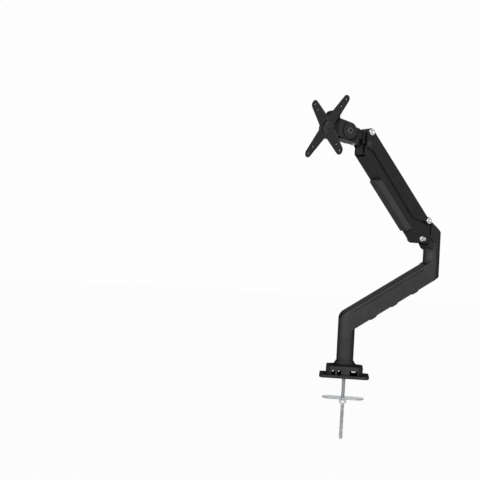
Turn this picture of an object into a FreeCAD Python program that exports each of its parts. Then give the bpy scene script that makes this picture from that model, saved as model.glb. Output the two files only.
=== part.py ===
import FreeCAD, Part
import math
import os

# Gas-spring monitor arm for a grommet hole in a desk. Millimetres and degrees, +Z up.
# Origin: centre of the base's underside, on the axis of the clamp rod. The base is widest along X.
# Each moving group is drawn in a frame of its own and then placed by the angles below.

V = FreeCAD.Vector
os.makedirs("parts", exist_ok=True)

# ---- how the arm stands -------------------------------------------------------------------------
lower_heading = 21.9      # lower arm, from +X towards +Y
upper_heading = 218.4     # upper arm, from +X towards +Y
lift_angle = 45.2         # top beam above level
tilt_angle = 6.0          # mounting plate leans back by this much

# ---- clearances ---------------------------------------------------------------------------------
running_gap = 0.05        # radial, every pin in its bore
thread_gap = 0.5          # radial, a plain nut bore that runs along a plain rod
seam_gap = 0.6            # between a post and what turns on it
side_gap = 0.5            # between neighbouring side plates that move past each other

# ---- base and clamp -----------------------------------------------------------------------------
pad_thickness = 1.6
foot_width = 101.3
foot_depth = 76.0
foot_height = 6.2
foot_corner = 5.0
deck_width = 75.0
deck_depth = 70.0
deck_corner = 9.0
deck_top = 24.4
deck_thickness = 8.8
window_height = 9.4
leg_width = 8.5
front_windows = ((-26.4, -18.8), (-13.5, -5.9), (10.8, 27.0))     # openings along X
rear_windows = ((-24.5, -21.5), (-12.0, -9.0), (15.5, 24.0))
wall_thickness = 7.0
collar_radius = 31.0
post_bottom = 34.2
post_radius = 17.5
post_wall = 4.0
post_seam = 78.9
rod_radius = 4.0
rod_drop = 127.0
rod_head_height = 5.3     # nut that holds the rod's top end in the casting
rod_head_flats = 13.0
clamp_top = -41.3         # top face of the grommet plate as set
clamp_length = 86.0
clamp_depth = 36.0
clamp_thickness = 3.2
clamp_washer_radius = 8.0
clamp_washer_thickness = 1.6
nut_flats = 13.0
nut_height = 7.6

# ---- spindles, bushes ---------------------------------------------------------------------------
spindle_radius = 11.0
bush_wall = 2.0
bush_length = 26.0
bush_flange = 0.55
spindle_depth = 30.0

# ---- lower arm ----------------------------------------------------------------------------------
lower_reach = 184.2       # post axis to elbow axis
lower_inner_corner = 104.3    # where the beam's underside leaves the hub
lower_outer_corner = 217.6    # bottom of the elbow's far side
lower_top_corner = 241.9      # where the beam's top meets the elbow
lower_bend_radius = 30.0
elbow_seam = 266.45
lower_edge_radius = 5.0
groove_drop = 8.0
groove_width = 1.3
groove_depth = 0.9
channel_width = 23.0
channel_depth = 15.0
cover_thickness = 2.0
cover_width = 27.0
tab_length = 16.0
tab_height = 3.6
tab_pitch = 45.8
tab_count = 3
tab_first = 55.0          # first tab's distance from the post axis
cover_end_gap = 12.0

# ---- elbow bracket ------------------------------------------------------------------------------
pivot_forward = 31.2      # beam pivot A, ahead of the elbow axis
pivot_height = 65.2       # and above the elbow seam
link_forward = 6.5        # link pivot C from A, forward
link_drop = 38.8          # and down
knuckle_radius = 8.0
link_knuckle_radius = 6.2
cheek_outer = 15.4
cheek_inner = 12.2
block_front = 22.0        # the full-width block's lower front corner
block_low = 17.4          # its slanted underside, at the elbow axis and how much higher at the front
block_step = 13.2
block_lean = 2.6          # its front face leans back by this over the height of the link's cheek
roof_back = 38.2          # height of the slanted roof over the back of the bracket
pin_radius = 4.0

# ---- tension setting ----------------------------------------------------------------------------
anchor_distance = 22.0    # spring anchor G from A, along A to C
screw_offset = 17.0       # tension screw behind the line A to C
slider_width = 17.6
slider_height = 12.0
slider_ear = 3.4
tension_screw_radius = 3.0
anchor_pin_radius = 3.0
screw_head_radius = 5.0
screw_seat = 4.0          # distances along the tension screw's axis from beside pivot A
screw_tip = 44.0

# ---- top beam -----------------------------------------------------------------------------------
beam_length = 235.0       # pivot A to pivot B
beam_half = 20.5
beam_wall = 2.2
beam_roof = 3.0
beam_rise_elbow = 3.0     # top face above pivot A
beam_rise_head = 7.4      # top face above pivot B
beam_skirt_elbow = 28.0   # skirt's lower edge below the pivots, near the elbow
beam_skirt_head = 21.2
boss_radius = 7.8
plug_back = 14.1          # round plug from pivot B, towards the elbow
plug_drop = 19.8
plug_radius = 5.4
plug_proud = 0.8
screw_radius = 6.9        # bright pivot screw heads
screw_head = 2.4
washer_radius = 7.6
washer_thickness = 0.5

# ---- link, its shell and cover ------------------------------------------------------------------
bar_thickness = 2.5
bar_height = 10.0
bar_half = 11.7           # outer face of each bar
shell_wall = 1.9
shell_top = 18.7          # upper edge of the side strips above the link's centre line
shell_floor_head = 7.2    # floor below the centre line, head end
shell_floor_elbow = 13.0  # and elbow end
shell_edge = 1.2
shell_screw_forward = 9.0
cover_start = 40.5        # thick cable cover, from the elbow pivot
cover_end = 168.0
cover_drop = 20.8         # its underside below the link's centre line
cover_bottom_width = 20.0
cover_wall = 2.0
cover_screw_inset = 18.0
cross_ribs = (62.0, 126.0, 190.0)
end_pin_radius = 3.5
lift_limit = 6.5          # the beam may rise this much further
shell_screw_radius = 5.4
shell_washer_radius = 7.2

# ---- gas spring ---------------------------------------------------------------------------------
spring_mount_back = 45.0  # head-end anchor from pivot B, towards the elbow
spring_mount_drop = 14.0
cylinder_radius = 8.0
spring_rod_radius = 4.0
cylinder_length = 118.0
eye_thickness = 8.6
eye_wall = 3.4
mount_pin_radius = 3.0
eye_play_side = 3.6       # play of the cylinder's eye across and along the spring, an open pivot
eye_play_along = 1.4
eye_play_shift = 1.2      # the slot sits this much off the spring's axis

# ---- head ---------------------------------------------------------------------------------------
swivel_forward = 27.0     # swivel axis ahead of pivot B
barrel_radius = 10.0
barrel_top = -1.0         # heights from pivot B
barrel_bottom = -15.6
fork_gap = 0.4
fork_radius = 11.0
fork_top = 3.2            # the swivel block's sloping top and underside, at the back of its fork
fork_low = -28.4
block_top = 10.7          # and near the tilt axis
block_low_front = -19.6
cap_seat = 3.0            # the swivel pin's cap and foot sit sunk at these heights
foot_seat = -24.2
web_back = 3.0
web_front = 13.0
web_half = 12.2
web_low = -24.0
lug_half = 8.8
swivel_pin_radius = 4.0
tilt_forward = 55.7       # tilt axis ahead of pivot B
tilt_height = -3.4
block_half = 14.8
block_radius = 15.0
hook_seat = 0.9           # above the block, where the screw's head sits in the cable hook
hook_screw_head = 3.2
tilt_cheek = 4.4
tilt_cheek_radius = 17.2
tilt_face = 27.5          # front face ahead of the tilt axis
tilt_plate = 3.8
tilt_top = 19.3
tilt_bottom = -13.4
disc_radius = 16.4
disc_thickness = 3.0
disc_seat = 0.9           # material left under the bolt head, which sits sunk in the disc
tilt_bolt_radius = 5.0
tilt_bolt_head = 6.6

# ---- plate --------------------------------------------------------------------------------------
hub_top = 34.0            # upright slab on the bracket's front, heights from the tilt axis
hub_bottom = -21.0
hub_corner = 13.0
hub_thickness = 9.0
turn_boss_radius = 22.5
spigot_radius = 9.0
retainer_radius = 13.0
rim_screw_circle = 17.5
turn_gap = 0.4
boss_thickness = 3.6
plate_thickness = 2.6
plate_square = 100.0      # hole square, and the smaller one inside it
plate_inner_square = 75.0
plate_hole = 2.3
plate_corner = 8.6
plate_waist = 24.0
plate_arm_root = 15.0


# ---- drawing helpers ----------------------------------------------------------------------------
def corner_outline(points, radii):
    """Closed outline of straight runs whose corners are rounded by the radii."""
    edges = []
    starts = []
    ends = []
    count = len(points)
    for i in range(count):
        here = points[i]
        before = points[i - 1].sub(here).normalize()
        after = points[(i + 1) % count].sub(here).normalize()
        radius = radii[i]
        if radius <= 0:
            starts.append(here)
            ends.append(here)
            edges.append(None)
            continue
        half = before.getAngle(after) / 2
        reach = radius / math.tan(half)
        first = here.add(before * reach)
        last = here.add(after * reach)
        middle = before.add(after).normalize()
        bulge = here.add(middle * (radius / math.sin(half) - radius))
        starts.append(first)
        ends.append(last)
        edges.append(Part.Arc(first, bulge, last).toShape())
    outline = []
    for i in range(count):
        if edges[i] is not None:
            outline.append(edges[i])
        following = starts[(i + 1) % count]
        if ends[i].sub(following).Length > 1e-6:
            outline.append(Part.LineSegment(ends[i], following).toShape())
    return Part.Wire(outline)


def side_profile(points, half_width, radii=None):
    """Prism of an (x, z) outline, symmetric about y = 0."""
    corners = [V(x, -half_width, z) for x, z in points]
    wire = corner_outline(corners, radii or [0] * len(corners))
    return Part.Face(wire).extrude(V(0, 2 * half_width, 0))


def plan_profile(points, low, high, radii=None):
    """Prism of an (x, y) outline between two heights."""
    corners = [V(x, y, low) for x, y in points]
    wire = corner_outline(corners, radii or [0] * len(corners))
    return Part.Face(wire).extrude(V(0, 0, high - low))


def cross_section(points, start, end, radii=None):
    """Prism of a (y, z) outline along x."""
    corners = [V(start, y, z) for y, z in points]
    wire = corner_outline(corners, radii or [0] * len(corners))
    return Part.Face(wire).extrude(V(end - start, 0, 0))


def box(x0, x1, y0, y1, z0, z1):
    return Part.makeBox(x1 - x0, y1 - y0, z1 - z0, V(x0, y0, z0))


def post(radius, low, high, x=0.0, y=0.0):
    return Part.makeCylinder(radius, high - low, V(x, y, low), V(0, 0, 1))


def cross_pin(radius, y0, y1, x, z):
    return Part.makeCylinder(radius, y1 - y0, V(x, y0, z), V(0, 1, 0))


def both_sides(shape):
    """The shape and its mirror image across y = 0."""
    return [shape, shape.mirror(V(0, 0, 0), V(0, 1, 0))]


def strap(x0, z0, r0, x1, z1, r1, half_width):
    """Flat strap round two centres in the (x, z) plane, its sides tangent to both circles."""
    distance = math.hypot(x1 - x0, z1 - z0)
    heading = math.atan2(z1 - z0, x1 - x0)
    spread = math.acos((r0 - r1) / distance)
    points = []
    corners = ((x0, z0, r0, 1), (x1, z1, r1, 1), (x1, z1, r1, -1), (x0, z0, r0, -1))
    for centre_x, centre_z, radius, side in corners:
        turn = heading + side * spread
        points.append((centre_x + radius * math.cos(turn), centre_z + radius * math.sin(turn)))
    shape = side_profile(points, half_width)
    for x, z, radius in ((x0, z0, r0), (x1, z1, r1)):
        shape = shape.fuse(cross_pin(radius, -half_width, half_width, x, z))
    return shape.removeSplitter()


def hexagon(flats, low, high):
    radius = flats / math.sqrt(3)
    points = [(radius * math.cos(math.radians(60 * i)),
               radius * math.sin(math.radians(60 * i))) for i in range(6)]
    return plan_profile(points, low, high)


def soften(shape, size, choose, chamfer=False):
    """Fillet or chamfer every edge that choose(edge) picks."""
    edges = [edge for edge in shape.Edges if choose(edge)]
    if chamfer:
        return shape.makeChamfer(size, edges)
    return shape.makeFillet(size, edges)


def middle(edge):
    return edge.valueAt((edge.FirstParameter + edge.LastParameter) / 2)


def cross_head_screw(radius, head, shank, length, face_y, x, z):
    """Pan-head screw whose head rests on y = face_y and whose shank runs towards y = 0."""
    dome = cross_pin(radius, face_y, face_y + head, x, z)
    dome = soften(dome, head * 0.6, lambda edge: middle(edge).y > face_y + head - 0.01
                  and edge.Length > radius)
    slot = 0.75
    reach = radius * 0.5
    for long_x, long_z in ((reach, slot), (slot, reach)):
        dome = dome.cut(box(x - long_x, x + long_x, face_y + head * 0.35, face_y + head + 1, z - long_z,
                            z + long_z))
    return dome.fuse(cross_pin(shank, face_y - length, face_y, x, z)).removeSplitter()


def save(name, shapes):
    """Write one node, as one solid or a group of separate solids."""
    solids = []
    for shape in shapes if isinstance(shapes, list) else [shapes]:
        solids.extend(shape.Solids)
    for solid in solids:
        if not solid.isValid():
            print("check the solid of", name)
    result = solids[0] if len(solids) == 1 else Part.makeCompound(solids)
    result.exportStep("parts/" + name + ".step")
    print(name, len(solids), round(sum(solid.Volume for solid in solids)))


# ---- frames -------------------------------------------------------------------------------------
def turned(heading, origin):
    return FreeCAD.Placement(origin, FreeCAD.Rotation(V(0, 0, 1), heading))


def pitched(x, z, angle):
    """A frame inside another one, at (x, 0, z), whose x axis points up by the angle."""
    return FreeCAD.Placement(V(x, 0, z), FreeCAD.Rotation(V(0, 1, 0), -angle))


def place(shape, frame):
    if isinstance(shape, list):
        return [place(piece, frame) for piece in shape]
    moved = shape.copy()
    moved.Placement = frame.multiply(moved.Placement)
    return moved


elbow_point = V(
    lower_reach * math.cos(math.radians(lower_heading)),
    lower_reach * math.sin(math.radians(lower_heading)),
    elbow_seam,
)
head_x = pivot_forward + beam_length * math.cos(math.radians(lift_angle))
head_z = pivot_height + beam_length * math.sin(math.radians(lift_angle))

lower_frame = turned(lower_heading, V(0, 0, 0))
elbow_frame = turned(upper_heading, elbow_point)
beam_frame = elbow_frame.multiply(pitched(pivot_forward, pivot_height, lift_angle))
link_frame = elbow_frame.multiply(pitched(pivot_forward + link_forward, pivot_height - link_drop,
                                          lift_angle))
head_frame = elbow_frame.multiply(FreeCAD.Placement(V(head_x, 0, head_z), FreeCAD.Rotation()))
tilt_frame = head_frame.multiply(pitched(tilt_forward, tilt_height, tilt_angle))


# ---- base ---------------------------------------------------------------------------------------
def octagon(width, depth, corner, low, high, round_by=0.0):
    x = width / 2
    y = depth / 2
    points = [
        (-x + corner, -y), (x - corner, -y), (x, -y + corner), (x, y - corner),
        (x - corner, y), (-x + corner, y), (-x, y - corner), (-x, -y + corner),
    ]
    return plan_profile(points, low, high, [round_by] * 8)


def base_casting():
    foot = octagon(foot_width, foot_depth, foot_corner, pad_thickness, foot_height, 1.5)
    foot = foot.cut(box(-foot_width, foot_width, -9.0, 9.0, 0, foot_height).common(
        box(foot_width / 2 - 5.0, foot_width, -9.0, 9.0, 0, foot_height)))
    foot = foot.cut(box(-foot_width, -foot_width / 2 + 5.0, -9.0, 9.0, 0, foot_height))
    body = octagon(deck_width, deck_depth, deck_corner, foot_height - 1.0, deck_top, 1.0)
    body = soften(body, 1.6, lambda edge: abs(middle(edge).z - deck_top) < 0.01)
    tunnel_top = foot_height + window_height
    inner_half = deck_width / 2 - leg_width
    inner_depth = deck_depth / 2 - wall_thickness
    body = body.cut(octagon(2 * inner_half, 2 * inner_depth, deck_corner - 2.0, foot_height, tunnel_top,
                            1.0))
    for windows, near, far in ((front_windows, -deck_depth, 0.0), (rear_windows, 0.0, deck_depth)):
        for low, high in windows:
            window = box(low, high, near, far, foot_height, tunnel_top)
            body = body.cut(soften(window, 1.0,
                                   lambda edge: abs(edge.tangentAt(edge.FirstParameter).y) > 0.99))
    side_window = box(-deck_width, deck_width, -14.0, 14.0, foot_height + 1.5, tunnel_top - 1.0)
    body = body.cut(soften(side_window, 1.4, lambda edge: abs(edge.tangentAt(edge.FirstParameter).x) > 0.99))
    boss = post(rod_radius + 6.0, foot_height - 1.0, tunnel_top + 1.0)
    profile = [
        V(0, 0, deck_top - 1.0), V(collar_radius, 0, deck_top - 1.0), V(collar_radius, 0, deck_top + 0.8),
        V(post_radius + 1.4, 0, post_bottom), V(0, 0, post_bottom),
    ]
    edges = [Part.LineSegment(profile[i], profile[i + 1]).toShape() for i in (0, 1)]
    dish = V(post_radius + 5.6, 0, deck_top + 3.4)
    edges.append(Part.Arc(profile[2], dish, profile[3]).toShape())
    edges += [Part.LineSegment(profile[i], profile[(i + 1) % 5]).toShape() for i in (3, 4)]
    collar = Part.Face(Part.Wire(edges)).revolve(V(0, 0, 0), V(0, 0, 1), 360)
    casting = foot.fuse([body, boss, collar])
    casting = casting.cut(post(rod_radius + running_gap, -1, post_bottom + 1))
    casting = casting.cut(hexagon(rod_head_flats, post_bottom - rod_head_height, post_bottom + 1))
    return casting.removeSplitter()


def base_pad():
    pad = octagon(foot_width - 3.0, foot_depth - 3.0, foot_corner, 0, pad_thickness, 1.5)
    return pad.cut(post(rod_radius + 3.0, -1, pad_thickness + 1))


def clamp_rod():
    rod = post(rod_radius, -rod_drop, post_bottom)
    return soften(rod, 0.8, lambda edge: len(edge.Vertexes) == 1, True)


def rod_nut():
    nut = hexagon(rod_head_flats, post_bottom - rod_head_height, post_bottom)
    return nut.cut(post(rod_radius, post_bottom - rod_head_height - 1, post_bottom + 1))


def base_post():
    tube = post(post_radius, post_bottom, post_seam - seam_gap / 2)
    tube = tube.cut(post(post_radius - post_wall, post_bottom + 12.0, post_seam))
    inner = post(spindle_radius, post_bottom + 12.0, post_seam)
    sleeve = post(post_radius - post_wall, post_bottom + 12.0, post_seam - seam_gap / 2).cut(inner)
    return tube.fuse(sleeve).removeSplitter()


def spindle(low, high):
    shaft = post(spindle_radius, low, high)
    shaft = soften(shaft, 1.0, lambda edge: edge.Length > 10, True)
    return shaft.cut(post(spindle_radius - 5.0, low - 1, high + 1))


def bush(mouth, depth):
    """Flanged plastic bush in a bore whose mouth is at one height; depth runs up or down from it."""
    low, high = sorted((mouth, mouth + depth))
    sleeve = post(spindle_radius + bush_wall, low, high)
    outward = math.copysign(bush_flange, -depth)
    low_flange, high_flange = sorted((mouth, mouth + outward))
    sleeve = sleeve.fuse(post(post_radius - 0.6, low_flange, high_flange))
    sleeve = sleeve.cut(post(spindle_radius + running_gap, low - 2, high + 2))
    return sleeve.removeSplitter()


save("base_casting", base_casting())
save("base_pad", base_pad())
save("clamp_rod", clamp_rod())
save("rod_nut", rod_nut())
save("base_post", base_post())
save("base_spindle", spindle(post_bottom + 12.0, post_seam + spindle_depth - 4.0))


# ---- desk clamp ---------------------------------------------------------------------------------
def grommet_plate():
    half = clamp_length / 2 - clamp_depth / 2
    low = clamp_top - clamp_thickness
    plate = box(-half, half, -clamp_depth / 2, clamp_depth / 2, low, clamp_top)
    plate = plate.fuse([post(clamp_depth / 2, low, clamp_top, x) for x in (-half, half)]).removeSplitter()
    plate = soften(plate, 1.0, lambda edge: middle(edge).z < low + 0.01, True)
    return plate.cut(post(rod_radius + 0.5, low - 1, clamp_top + 1))


def clamp_washer():
    high = clamp_top - clamp_thickness
    ring = post(clamp_washer_radius, high - clamp_washer_thickness, high)
    return ring.cut(post(rod_radius + 0.4, high - 5, high + 1))


def clamp_nut():
    high = clamp_top - clamp_thickness - clamp_washer_thickness - running_gap
    low = high - nut_height
    nut = hexagon(nut_flats, low, high)
    crown = Part.makeCone(nut_flats / 2 - 0.3 + nut_height, nut_flats / 2 - 0.3, nut_height, V(0, 0, low))
    foot = Part.makeCone(nut_flats / 2 - 0.3, nut_flats / 2 - 0.3 + nut_height, nut_height, V(0, 0, low))
    nut = nut.common(crown).common(foot)
    return nut.cut(post(rod_radius + thread_gap, low - 1, high + 1))


save("grommet_plate", grommet_plate())
save("clamp_washer", clamp_washer())
save("clamp_nut", clamp_nut())


# ---- lower arm ----------------------------------------------------------------------------------
hub_floor = post_seam + seam_gap / 2
elbow_roof = elbow_seam - seam_gap / 2
lower_slope = (lower_outer_corner - lower_inner_corner) / lower_reach
lower_pitch = math.degrees(math.atan(lower_slope))
beam_drop = math.cos(math.radians(lower_pitch))


def lower_line(x, offset):
    """Height of a line parallel to the beam, offset square to it from the underside."""
    return lower_inner_corner + lower_slope * (x - post_radius) + offset / beam_drop


lower_top_offset = (lower_top_corner - lower_line(lower_reach - post_radius, 0)) * beam_drop


def lower_arm():
    back = -post_radius - 1.0
    far = lower_reach + post_radius
    neck = lower_reach - post_radius
    points = [
        (back, hub_floor), (post_radius, hub_floor), (post_radius, lower_inner_corner), (far,
                                                                                         lower_outer_corner),
        (far, elbow_roof), (neck, elbow_roof), (neck, lower_top_corner),
        (back, lower_line(back, lower_top_offset)),
    ]
    side = side_profile(points, post_radius + 1, [0, 0, 0, 0.8, 0, 0, 0, lower_bend_radius])
    plan = box(0, lower_reach, -post_radius, post_radius, 0, elbow_seam)
    plan = plan.fuse([post(post_radius, 0, elbow_seam, x) for x in (0, lower_reach)]).removeSplitter()
    arm = side.common(plan).removeSplitter()

    def top_edge(edge):
        point = middle(edge)
        line = lower_line(point.x, lower_top_offset)
        on_slope = abs(point.z - line) < 0.05 and abs(abs(point.y) - post_radius) < 0.05
        on_bend = point.x < 25 and point.z > lower_inner_corner + 8 and abs(point.y) > 1.0
        return on_slope or on_bend

    arm = soften(arm, lower_edge_radius, top_edge)
    under = side_profile([(0, hub_floor - 1), (post_radius + 1, hub_floor - 1),
                          (post_radius + 1, lower_line(post_radius + 1, 0)), (0, lower_line(0, 0))], 30)
    over = side_profile([(lower_reach, lower_line(lower_reach, lower_top_offset)), (lower_reach, elbow_seam),
                         (neck - 1, elbow_seam), (neck - 1, lower_line(neck - 1, lower_top_offset))], 30)
    arm = arm.cut(under.cut(post(post_radius, 0, elbow_seam)))
    arm = arm.cut(over.cut(post(post_radius, 0, elbow_seam + 1, lower_reach)))
    start = 8.0
    end = neck - 6.0
    slot = []
    for x in (start, end):
        slot.append((x, lower_line(x, lower_top_offset - groove_drop)))
    for x in (end, start):
        slot.append((x, lower_line(x, lower_top_offset - groove_drop + groove_width)))
    groove = side_profile(slot, post_radius + 1)
    groove = groove.cut(box(0, lower_reach, -post_radius + groove_depth, post_radius - groove_depth, 0,
                            elbow_seam))
    arm = arm.cut(groove)
    first = post_radius + 14.0
    last = neck + 6.0
    opening = []
    for x, offset in ((first, -6), (last, -6), (last, channel_depth), (first, channel_depth)):
        opening.append((x, lower_line(x, offset)))
    arm = arm.cut(side_profile(opening, channel_width / 2, [0, 0, 4.0, 4.0]))
    recess = []
    for x, offset in ((first - 2, -6), (last + 2, -6), (last + 2, cover_thickness), (first - 2,
                                                                                     cover_thickness)):
        recess.append((x, lower_line(x, offset)))
    arm = arm.cut(side_profile(recess, cover_width / 2))
    bore = spindle_radius + bush_wall
    arm = arm.cut(post(bore, hub_floor - 1, hub_floor + bush_length + 2))
    arm = arm.cut(post(bore, elbow_roof - spindle_depth - 3, elbow_roof + 1, lower_reach))
    return arm.removeSplitter()


def lower_cover():
    first = post_radius + 12.2
    last = lower_reach - post_radius + 7.8
    points = []
    for x, offset in ((first, -1.0), (last, -1.0), (last, cover_thickness - 0.1), (first,
                                                                                   cover_thickness - 0.1)):
        points.append((x, lower_line(x, offset)))
    cover = side_profile(points, cover_width / 2 - 0.15, [0.8, 0.8, 0, 0])
    lip = []
    for x, offset in ((first + 4, cover_thickness - 0.2), (last - 4, cover_thickness - 0.2), (last - 4, 7.0),
                      (first + 4, 7.0)):
        lip.append((x, lower_line(x, offset)))
    rail = side_profile(lip, channel_width / 2 - 0.1, [0, 0, 1.5, 1.5])
    rail = rail.cut(side_profile(lip, channel_width / 2 - 1.8))
    cover = cover.fuse(rail)
    for i in range(tab_count):
        centre = tab_first + i * tab_pitch
        tab = []
        for x, offset in ((centre - tab_length / 2, -0.9), (centre - tab_length / 2 + 1.5, -tab_height),
                          (centre + tab_length / 2 - 3.0, -tab_height), (centre + tab_length / 2, -0.9)):
            tab.append((x, lower_line(x, offset)))
        tab = side_profile(tab, cover_width / 2 - 2.0, [0, 1.2, 1.2, 0])
        cover = cover.fuse(tab)
    return cover.removeSplitter()


def cover_screw(x):
    """Small countersunk screw through the cover, square to the beam."""
    centre = V(x, 0, lower_line(x, -0.6))
    normal = V(lower_slope, 0, -1).normalize()
    head = Part.makeCone(1.4, 2.8, 1.5, centre.sub(normal * 1.5), normal)
    socket = Part.makeCylinder(1.0, 0.8, centre.sub(normal * 0.7), normal)
    return head.cut(socket)


lower_cover_shape = lower_cover()
screws = [cover_screw(x) for x in (post_radius + 18.0, lower_reach - post_radius + 3.0)]
for screw in screws:
    lower_cover_shape = lower_cover_shape.cut(screw)
save("lower_arm", place(lower_arm(), lower_frame))
save("lower_cover", place(lower_cover_shape, lower_frame))
save("lower_cover_screws", place(screws, lower_frame))
save("hub_bush", bush(hub_floor, bush_length))
save("elbow_bush", place(bush(elbow_roof, -bush_length), turned(lower_heading, V(elbow_point.x,
                                                                                 elbow_point.y, 0))))


# ---- elbow --------------------------------------------------------------------------------------
link_x = pivot_forward + link_forward
link_z = pivot_height - link_drop
link_span = math.hypot(link_forward, link_drop)
toward_link = V(link_forward / link_span, 0, -link_drop / link_span)
square_off = V(toward_link.z, 0, -toward_link.x)       # points to the back of the bracket
roof_slope = (pivot_height + knuckle_radius * 0.75 - roof_back) / (pivot_forward + post_radius)


def tension_axis_point(along):
    """Point on the tension screw's axis, a distance along the line from A to C."""
    return V(pivot_forward, 0, pivot_height).add(toward_link * along).add(square_off * screw_offset)


def elbow_bracket():
    floor = seam_gap / 2
    column = post(post_radius, floor, pivot_height)
    back = block_front - block_lean * (pivot_height - block_low - block_step) / 28.4
    block = side_profile([(0, block_low), (block_front, block_low + block_step), (back, pivot_height),
                          (0, pivot_height)], post_radius)
    core = side_profile([(0, block_low - 12), (block_front - 5, block_low + block_step - 12), (back,
                                                                                               pivot_height),
                         (0, pivot_height)], cheek_outer)
    cheeks = strap(pivot_forward, pivot_height, knuckle_radius, link_x, link_z, link_knuckle_radius,
                   cheek_outer)
    reach = V(link_x - post_radius, 0, link_z - 8.0)
    heading = math.atan2(reach.z, reach.x) - math.acos(link_knuckle_radius / reach.Length) + math.pi
    under_x = link_x + link_knuckle_radius * math.cos(heading - math.pi * 2)
    under_z = link_z + link_knuckle_radius * math.sin(heading - math.pi * 2)
    fill = side_profile([(10, pivot_height), (pivot_forward, pivot_height + 4), (link_x, link_z),
                         (under_x, under_z), (post_radius, 8.0), (10, 4.5)], cheek_outer)
    bracket = column.fuse([block, core, cheeks, fill])
    roof = side_profile([(-post_radius - 5, roof_back - 5 * roof_slope),
                         (pivot_forward + 30, roof_back + roof_slope * (pivot_forward + 30 + post_radius)),
                         (pivot_forward + 30, 120), (-post_radius - 5, 120)], 40)
    knuckle = cross_pin(knuckle_radius, -cheek_outer, cheek_outer, pivot_forward, pivot_height)
    bracket = bracket.cut(roof).fuse(knuckle).removeSplitter()
    pocket = side_profile([(8, 16), (26, 16), (50, 0), (80, -20), (80, 110), (23, 110), (22, 59.0), (8,
                                                                                                     49.5)],
                          cheek_inner, [2.0, 0, 0, 0, 0, 0, 0, 2.0])
    bracket = bracket.cut(pocket)
    top = tension_axis_point(-20)
    bracket = bracket.cut(Part.makeCylinder(tension_screw_radius + 0.3, screw_tip + 20.4, top, toward_link))
    bracket = bracket.cut(Part.makeCylinder(screw_head_radius + 0.4, 20 + screw_seat, top, toward_link))
    bracket = bracket.cut(cross_pin(pin_radius, -40, 40, pivot_forward, pivot_height))
    bracket = bracket.cut(cross_pin(pin_radius + running_gap, -40, 40, link_x, link_z))
    return bracket.cut(post(spindle_radius, 0, 12.0)).removeSplitter()


def tension_slider():
    """Nut block on the tension screw, with two ears reaching to the spring's lower anchor."""
    block = box(screw_offset - 6.0, screw_offset + 6.0, -slider_width / 2, slider_width / 2,
                -slider_height / 2,
                slider_height / 2)
    block = soften(block, 1.0, lambda edge: abs(edge.tangentAt(edge.FirstParameter).y) < 0.1, True)
    inner = slider_width / 2 - slider_ear
    ear = box(0, screw_offset - 5.0, inner, slider_width / 2, -5.0, 5.0)
    ear = ear.fuse(cross_pin(5.0, inner, slider_width / 2, 0, 0)).cut(cross_pin(anchor_pin_radius, 0, 20,
                                                                                0, 0))
    block = block.fuse(both_sides(ear))
    bore = Part.makeCylinder(tension_screw_radius + running_gap, 40, V(screw_offset, 0, -20), V(0, 0, 1))
    return block.cut(bore).removeSplitter()


def tension_screw():
    """Socket head screw, drawn with its head up and its shoulder at z = 0."""
    length = screw_tip - screw_seat
    head = Part.makeCylinder(screw_head_radius, 4.5, V(0, 0, 0))
    head = soften(head, 0.5, lambda edge: middle(edge).z > 4.4, True)
    head = head.cut(hexagon(5.0, 2.0, 6.0))
    return head.fuse(Part.makeCylinder(tension_screw_radius, length, V(0, 0, -length))).removeSplitter()


def ring(inner, outer, y0, y1, x, z):
    return cross_pin(outer, y0, y1, x, z).cut(cross_pin(inner, y0 - 1, y1 + 1, x, z))


def pivot_pin(x, z):
    """Shaft through the knuckle and both side plates, bored at each end for its screw."""
    end = beam_half + running_gap
    pin = cross_pin(pin_radius, -end, end, x, z)
    return pin.cut([cross_pin(2.4, side * end - 7, side * end + 7, x, z) for side in (-1, 1)])


def pivot_hardware(name, x, z, washer, frame):
    """Pin, inner washers, and on each side a dark washer under a bright cross-head screw."""
    end = beam_half + running_gap
    save(name + "_pin", place(pivot_pin(x, z), frame))
    inner = ring(pin_radius + running_gap, washer, cheek_outer, beam_half - beam_wall - running_gap, x, z)
    save(name + "_inner_washers", place(both_sides(inner), frame))
    outer = ring(2.45, washer_radius, end, end + washer_thickness, x, z)
    outer = soften(outer, 0.2, lambda edge: middle(edge).y > end + 0.4 and edge.Length > 30, True)
    save(name + "_screw_washers", place(both_sides(outer), frame))
    screw = cross_head_screw(screw_radius, screw_head, 2.4, 7 + washer_thickness, end + washer_thickness,
                             x, z)
    save(name + "_screws", place(both_sides(screw), frame))


slider_origin = V(pivot_forward, 0, pivot_height).add(toward_link * anchor_distance)
tension_turn = math.degrees(math.atan2(toward_link.x, -toward_link.z))
screw_frame = elbow_frame.multiply(FreeCAD.Placement(
    tension_axis_point(screw_seat), FreeCAD.Rotation(V(0, 1, 0), -tension_turn)))
slider_frame = elbow_frame.multiply(FreeCAD.Placement(
    slider_origin, FreeCAD.Rotation(V(0, 0, 1), 180).multiply(FreeCAD.Rotation(V(0, 1, 0), tension_turn))))

save("elbow_bracket", place(elbow_bracket(), elbow_frame))
save("elbow_spindle", place(spindle(-spindle_depth, 12.0), elbow_frame))
pivot_hardware("elbow_pivot", pivot_forward, pivot_height, 5.5, elbow_frame)
save("tension_slider", place(tension_slider(), slider_frame))
anchor_half = slider_width / 2
save("anchor_pin", place(cross_pin(anchor_pin_radius, -anchor_half, anchor_half, 0, 0), slider_frame))
save("tension_screw", place(tension_screw(), screw_frame))


# ---- top beam -----------------------------------------------------------------------------------
mount_x = beam_length - spring_mount_back


def roof_line(x):
    return beam_rise_elbow + (beam_rise_head - beam_rise_elbow) * x / beam_length


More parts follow.
